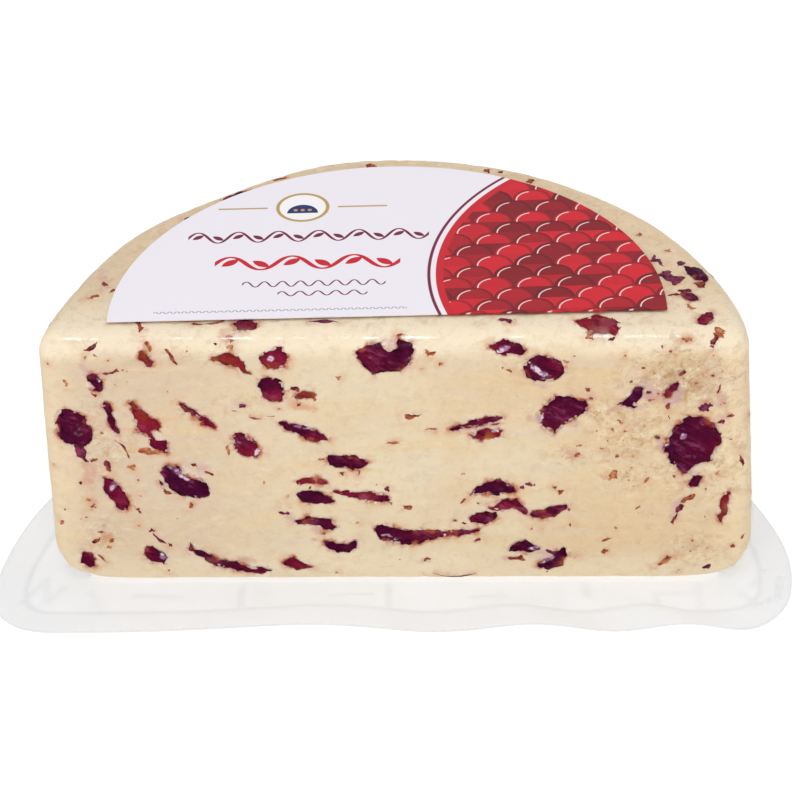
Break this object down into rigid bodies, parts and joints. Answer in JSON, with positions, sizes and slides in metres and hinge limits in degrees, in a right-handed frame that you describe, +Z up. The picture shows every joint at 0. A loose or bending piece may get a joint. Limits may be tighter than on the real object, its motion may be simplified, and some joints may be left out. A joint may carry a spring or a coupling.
{
  "type": "vacuum packed half wheel of cranberry wensleydale cheese",
  "caption": "Half wheel of pale crumbly cheese studded with cranberries, cut face forward, sealed in clear film with a flat flange round its base and a half-round label on top.",
  "frame": {"origin": "point where the wheel's axis meets the underside of the base film, at the foot of the cut face", "axes": "+X along the cut face to the right as seen from the front, +Y from the cut face into the half wheel, +Z up to the label"},
  "size_m": [0.2259, 0.1328, 0.0856],
  "materials": {
    "cheese": "cream-coloured crumbly cheese paste with pink stains, under a tight glossy film",
    "cranberry": "moist dried cranberry, dark purple to maroon with red-brown edges",
    "film": "clear glossy vacuum film, slightly clouded and creased, with a waved sealed hem",
    "label": null
  },
  "bodies": {
    "root": {"cheese": "cheese", "cranberry_01": "cranberry", "cranberry_02": "cranberry", "cranberry_03": "cranberry", "cranberry_04": "cranberry", "cranberry_05": "cranberry", "cranberry_06": "cranberry", "cranberry_07": "cranberry", "cranberry_08": "cranberry", "cranberry_09": "cranberry", "cranberry_10": "cranberry", "cranberry_11": "cranberry", "cranberry_12": "cranberry", "cranberry_13": "cranberry", "cranberry_14": "cranberry", "cranberry_15": "cranberry", "cranberry_16": "cranberry", "cranberry_17": "cranberry", "cranberry_18": "cranberry", "cranberry_19": "cranberry", "cranberry_20": "cranberry", "cranberry_21": "cranberry", "cranberry_22": "cranberry", "cranberry_23": "cranberry", "cranberry_24": "cranberry", "cranberry_25": "cranberry", "cranberry_26": "cranberry", "cranberry_27": "cranberry", "cranberry_28": "cranberry", "cranberry_29": "cranberry", "cranberry_30": "cranberry", "cranberry_31": "cranberry", "cranberry_32": "cranberry", "cranberry_33": "cranberry", "cranberry_34": "cranberry", "cranberry_35": "cranberry", "cranberry_36": "cranberry", "cranberry_37": "cranberry", "cranberry_38": "cranberry", "cranberry_39": "cranberry", "cranberry_40": "cranberry", "cranberry_41": "cranberry", "cranberry_42": "cranberry", "cranberry_43": "cranberry", "cranberry_44": "cranberry", "cranberry_45": "cranberry", "cranberry_46": "cranberry", "cranberry_47": "cranberry", "cranberry_48": "cranberry", "cranberry_49": "cranberry", "cranberry_50": "cranberry", "cranberry_51": "cranberry", "cranberry_52": "cranberry", "cranberry_53": "cranberry", "cranberry_54": "cranberry", "cranberry_55": "cranberry", "cranberry_56": "cranberry", "cranberry_57": "cranberry", "film_flange": "film", "label": "label"}
  },
  "joints": []
}
